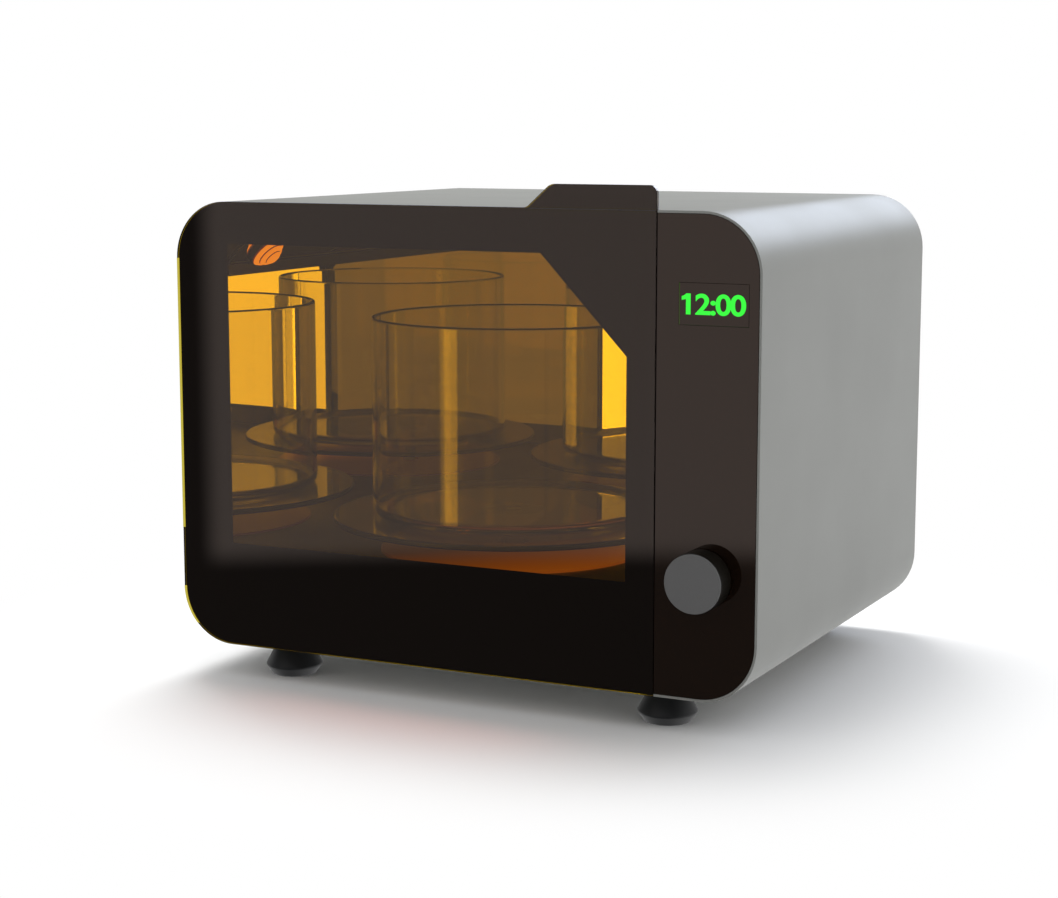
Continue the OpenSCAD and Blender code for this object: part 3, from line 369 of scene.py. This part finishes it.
# Painted light: a fine self-lit line along the foot of the door's handle tab stands in for light seen there;
# its place is measured from the case's top
tab = {"width": 84 * mm, "short": 1 * mm, "low": 0.5 * mm, "high": 0.15 * mm, "proud": 0.02 * mm,
       "sunk": 0.1 * mm}
tabPaintedLight = glowFinish("painted light line at the handle tab", "#101008", "#4A4416", 0.5)  # dull olive
tabLine = bar((doorHigh.x - tab["width"], doorFront - tab["proud"], caseTop - tab["low"]),
              (doorHigh.x - tab["short"], doorFront + tab["sunk"], caseTop - tab["high"]))
addPiece("tab_painted_light", tabLine, tabPaintedLight, "door")


# A solid turned round its own axis, from (radius, height) pairs that start and end on the axis
def turned(name, profile, place, axis, mat, steps=40, crease=35):
    work = bmesh.new()
    last = [work.verts.new((0, 0, profile[0][1]))]
    for radius, height in profile[1:-1]:
        ring = [work.verts.new((radius * math.cos(2 * math.pi * i / steps),
                                radius * math.sin(2 * math.pi * i / steps), height)) for i in range(steps)]
        for i in range(steps):
            j = (i + 1) % steps
            if len(last) == 1:
                work.faces.new((last[0], ring[i], ring[j]))
            else:
                work.faces.new((last[i], ring[i], ring[j], last[j]))
        last = ring
    tip = work.verts.new((0, 0, profile[-1][1]))
    for i in range(steps):
        work.faces.new((last[i], tip, last[(i + 1) % steps]))
    bmesh.ops.recalc_face_normals(work, faces=work.faces)
    for face in work.faces:
        face.smooth = True
    for line in work.edges:
        line.smooth = line.calc_face_angle(0) < math.radians(crease)
    mesh = bpy.data.meshes.new(name)
    work.to_mesh(mesh)
    work.free()
    obj = addPiece(name, mesh, mat, "root")
    obj.location = place
    obj.rotation_euler = Vector(axis).to_track_quat("Z", "Y").to_euler()
    return obj


# Small domed lamp on the roof's left slope: stepped rings of lens on a dark seat. Radius and height are
# in millimetres, and the place is measured from the slope's lower left front corner.
slopeLamp = {
    "place": (10.5, 30, 10.5),
    "seat": [(0, 0), (13.5, 0), (13.5, 3), (12.5, 3.6), (0, 3.6)],
    "dome": [(0, 3.0), (12.2, 3.0), (12.2, 4.6), (10.6, 6.4), (9.2, 6.6), (9.0, 7.4), (7.4, 9.0),
             (6.0, 9.2), (5.8, 9.8), (4.4, 10.8), (2.4, 11.6), (0, 11.9)],
    "groove": (0.02, 0.5),
}
lampGlow = glowFinish("lit orange lamp", "#C8502A", "#FFA664", 0.8, 0.2)  # pale orange, nearly white
stepShade = glowFinish("painted shade between lens steps", "#4A1006", "#8E2A0E", 0.35, 0.3)  # deep red
lampSpot = slopeLow + Vector(slopeLamp["place"]) * mm
downSlope = Vector((1, 0, -1)).normalized()
seat = [(r * mm, h * mm) for r, h in slopeLamp["seat"]]
dome = [(r * mm, h * mm) for r, h in slopeLamp["dome"]]
turned("slope_lamp_seat", seat, lampSpot, downSlope, finishes["dark_steel"])
lamp = turned("slope_lamp_dome", dome, lampSpot, downSlope, lampGlow)
lamp.data.materials.append(stepShade)
# Painted shade: dome faces that stand upright or face down take the dim deep red glow, which stands in for
# the shade between the lens steps
flattest, steepest = slopeLamp["groove"]
for face in lamp.data.polygons:
    upright = flattest < abs(face.normal.z) < steepest
    face.material_index = 1 if upright or face.normal.z < flattest else 0
print("slope lamp made")

# Painted light: self-lit strips where the amber sheet's left edge shows beside its black backing stand in
# for light gathered in that edge.
# They run in two stretches, as shares of the case's height from its underside, which follow the door's round
# corners
edgeGlowBand = {"width": 1.7 * mm, "spans": [(0.261, 0.873), (0.041, 0.125)], "corner": 36.5 * mm,
            "proud": 0.02 * mm, "sunk": 0.5 * mm, "steps": 24}
bandGlow = glowFinish("painted light in the sheet's edge", "#5A5212", "#C4B63C", 0.8)  # yellow-green, soft
caseHeight = caseTop - caseBottom
for number, (start, end) in enumerate(edgeGlowBand["spans"]):
    points, faces = [], []
    for i in range(edgeGlowBand["steps"] + 1):
        z = doorLow.z + (start + (end - start) * i / edgeGlowBand["steps"]) * caseHeight
        drop = max(0.0, doorLow.z + edgeGlowBand["corner"] - z, z - (caseTop - edgeGlowBand["corner"]))
        left = doorLow.x + edgeGlowBand["corner"] - math.sqrt(edgeGlowBand["corner"] ** 2 - drop ** 2)
        right = left + edgeGlowBand["width"]
        front = doorFront - edgeGlowBand["proud"]
        back = doorFront + edgeGlowBand["sunk"]
        points += [(left, front, z), (right, front, z), (right, back, z), (left, back, z)]
        if i:
            a, b = 4 * i - 4, 4 * i
            faces += [(a + j, a + (j + 1) % 4, b + (j + 1) % 4, b + j) for j in range(4)]
    top = 4 * edgeGlowBand["steps"]
    faces += [(3, 2, 1, 0), (top, top + 1, top + 2, top + 3)]
    mesh = bpy.data.meshes.new("edge_glow_band")
    mesh.from_pydata(points, [], faces)
    addPiece("edge_band_%d" % (number + 1), mesh, bandGlow, "door")
print("edge bands made")


# Studio: lamps for the object itself, and a world whose panels show in gloss and glass only
def areaLight(name, size, place, target, watts, color="#FFFFFF", glossy=False):
    light = bpy.data.lights.new(name, "AREA")
    light.shape = "RECTANGLE"
    light.size, light.size_y = size
    light.energy = watts
    light.color = linear(color)[:3]
    obj = bpy.data.objects.new(name, light)
    bpy.context.scene.collection.objects.link(obj)
    obj.location = place
    obj.rotation_euler = (Vector(target) - Vector(place)).to_track_quat("-Z", "Y").to_euler()
    obj.visible_glossy = glossy


lamps = [
    {"name": "key softbox", "size": (1.0, 1.0), "place": (-0.45, 0.5, 1.8), "target": (0, 0, 0.1),
     "watts": 33},
    {"name": "front softbox", "size": (1.2, 1.2), "place": (-1.2, -1.8, 0.9), "target": (0, 0, 0.15),
     "watts": 2},
    {"name": "lamp spill", "size": (0.22, 0.06), "place": (-0.02, -0.19, 0.06), "target": (-0.03, -0.36, 0),
     "watts": 0.02, "color": "#FF8C7C"},
    {"name": "side softbox", "size": (1.2, 1.2), "place": (2.0, -0.3, 0.9), "target": (0, 0, 0.1),
     "watts": 6},
    {"name": "rear softbox", "size": (2.0, 0.8), "place": (0.5, 2.4, 1.35), "target": (0.2, 0, 0.3),
     "watts": 21, "color": "#E2ECFF", "glossy": True},
]
for settings in lamps:
    areaLight(**settings)
print("lamps set:", len(lamps))

# Each panel is a span of headings (0 is straight ahead of the door, negative to its left) and heights
# in degrees, with the level that gloss and glass see there. Later ones cover earlier ones. "glass" keeps a
# panel to what has passed through the chamber, "inside" to its first images in the mirrors, and "sheet"
# to what the door's back face throws back.
panels = [
    {"heading": (-19.6, 80), "height": (-90, 40), "level": 0.15, "soft": 0.4},
    {"heading": (-80, -34.65), "height": (-90, 60), "level": 0.14, "soft": 0.36},
    {"heading": (-34.65, -31.2), "height": (-90, 40), "level": 1.25, "soft": 0.36, "only": "inside"},
    {"heading": (-25, -19.6), "height": (-90, 40), "level": 2.7, "soft": 0.4, "only": "inside"},
    {"heading": (-31.2, -25), "height": (-90, 40), "level": 3.6, "soft": 0.4, "only": "inside"},
    {"heading": (-80, 40), "height": (-90, -11.25), "level": 0.13, "soft": 0.4},
    {"heading": (-80, 80), "height": (1.5, 60), "level": 0.06, "soft": 0.5, "only": "glass"},
    {"heading": (-80, 80), "height": (-90, 60), "level": 0.3, "soft": 0.5, "only": "sheet"},
    {"heading": (-200, 200), "height": (-95, -3), "level": 0.12, "soft": 0.5, "only": "sheet"},
    {"heading": (-200, -110), "height": (-6, 45), "level": 0.35, "soft": 4},
]

# "ambient" lights the object, and gloss and glass see white where no panel covers it. A ray counts as
# from the chamber past this many faces of glass, and as a first image under this many mirrors.
room = {"ambient": 0.47, "white": 1.0, "faces": 3.5, "mirrors": 3.5}

world = bpy.data.worlds.new("studio")
bpy.context.scene.world = world
world.use_nodes = True
tree = world.node_tree
tree.nodes.clear()
outward = addNode(tree, "ShaderNodeTexCoord").outputs["Generated"]
toward = addNode(tree, "ShaderNodeSeparateXYZ", {0: outward})
ahead = addNode(tree, "ShaderNodeMath", {0: toward.outputs["Y"], 1: -1.0}, operation="MULTIPLY")
turn = addNode(tree, "ShaderNodeMath", {0: toward.outputs["X"], 1: ahead.outputs[0]}, operation="ARCTAN2")
heading = addNode(tree, "ShaderNodeMath", {0: turn.outputs[0]}, operation="DEGREES")
climb = addNode(tree, "ShaderNodeMath", {0: toward.outputs["Z"]}, operation="ARCSINE")
height = addNode(tree, "ShaderNodeMath", {0: climb.outputs[0]}, operation="DEGREES")
path = addNode(tree, "ShaderNodeLightPath")
deep = addNode(tree, "ShaderNodeMath", {0: path.outputs["Transmission Depth"], 1: room["faces"]},
               operation="GREATER_THAN")
direct = addNode(tree, "ShaderNodeMath", {0: path.outputs["Glossy Depth"], 1: room["mirrors"]},
                 operation="LESS_THAN")
inside = addNode(tree, "ShaderNodeMath", {0: deep.outputs[0], 1: direct.outputs[0]}, operation="MULTIPLY")
shallow = addNode(tree, "ShaderNodeMath", {0: path.outputs["Is Transmission Ray"], 1: deep.outputs[0]},
                  operation="SUBTRACT", use_clamp=True)
reach = {"inside": inside.outputs[0], "glass": deep.outputs[0], "sheet": shallow.outputs[0]}
level = room["white"]
for panel in panels:
    cover = reach[panel["only"]] if "only" in panel else 1.0
    for angle, key in ((heading, "heading"), (height, "height")):
        for edge, side in zip(panel[key], (1, -1)):
            step = addNode(tree, "ShaderNodeMapRange", {"Value": angle.outputs[0],
                           "From Min": edge - side * panel["soft"], "From Max": edge + side * panel["soft"]},
                           interpolation_type="SMOOTHSTEP")
            cover = addNode(tree, "ShaderNodeMath", {0: cover, 1: step.outputs["Result"]},
                            operation="MULTIPLY").outputs[0]
    level = addNode(tree, "ShaderNodeMix", {0: cover, 2: level, 3: panel["level"]}).outputs[0]
mirrored = addNode(tree, "ShaderNodeMath", {0: path.outputs["Is Glossy Ray"],
                   1: path.outputs["Is Transmission Ray"]}, operation="MAXIMUM")
plain = addNode(tree, "ShaderNodeMapRange", {"Value": path.outputs["Is Camera Ray"],
                "To Min": room["ambient"], "To Max": room["white"]})
shown = addNode(tree, "ShaderNodeMix", {0: mirrored.outputs[0], 2: plain.outputs["Result"], 3: level})
backdrop = addNode(tree, "ShaderNodeBackground", {"Color": (1, 1, 1, 1), "Strength": shown.outputs[0]})
addNode(tree, "ShaderNodeOutputWorld", {"Surface": backdrop.outputs["Background"]})
print("world set:", len(panels), "panels")

# Floor: white, with the object's shadow, fading into the white background between two distances in
# metres. Gloss and glass see the world's panels in its place.
sweep = {"half": 30, "fade": (0.18, 0.45), "color": (0.95, 0.95, 0.95, 1)}
far = sweep["half"]
floorMesh = bpy.data.meshes.new("floor")
floorMesh.from_pydata([(-far, -far, 0), (far, -far, 0), (far, far, 0), (-far, far, 0)],
                      [], [(0, 1, 2, 3)])
floor = bpy.data.objects.new("floor", floorMesh)
bpy.context.scene.collection.objects.link(floor)
floor.visible_glossy = False
floor.visible_transmission = False
mat, tree = newMaterial("white sweep")
spot = addNode(tree, "ShaderNodeVectorMath", {0: addNode(tree, "ShaderNodeTexCoord").outputs["Object"]},
               operation="LENGTH")
fade = addNode(tree, "ShaderNodeMapRange", {"Value": spot.outputs["Value"], "From Min": sweep["fade"][0],
               "From Max": sweep["fade"][1]}, interpolation_type="SMOOTHSTEP")
path = addNode(tree, "ShaderNodeLightPath")
blank = addNode(tree, "ShaderNodeMath", {0: fade.outputs["Result"], 1: path.outputs["Is Camera Ray"]},
                operation="MULTIPLY")
body = addNode(tree, "ShaderNodeBsdfDiffuse", {"Color": sweep["color"]})
white = addNode(tree, "ShaderNodeEmission", {"Color": (1, 1, 1, 1), "Strength": 1.0})
both = addNode(tree, "ShaderNodeMixShader", {0: blank.outputs[0], 1: body.outputs["BSDF"],
               2: white.outputs["Emission"]})
floorMesh.materials.append(finishMaterial(mat, tree, both.outputs["Shader"]))

bpy.context.scene.view_settings.view_transform = "Standard"

# The facing mirrors and the glass between them need many bounces
cycles = bpy.context.scene.cycles
cycles.max_bounces = 28
cycles.glossy_bounces = 16
cycles.transmission_bounces = 24
print("bounces set")
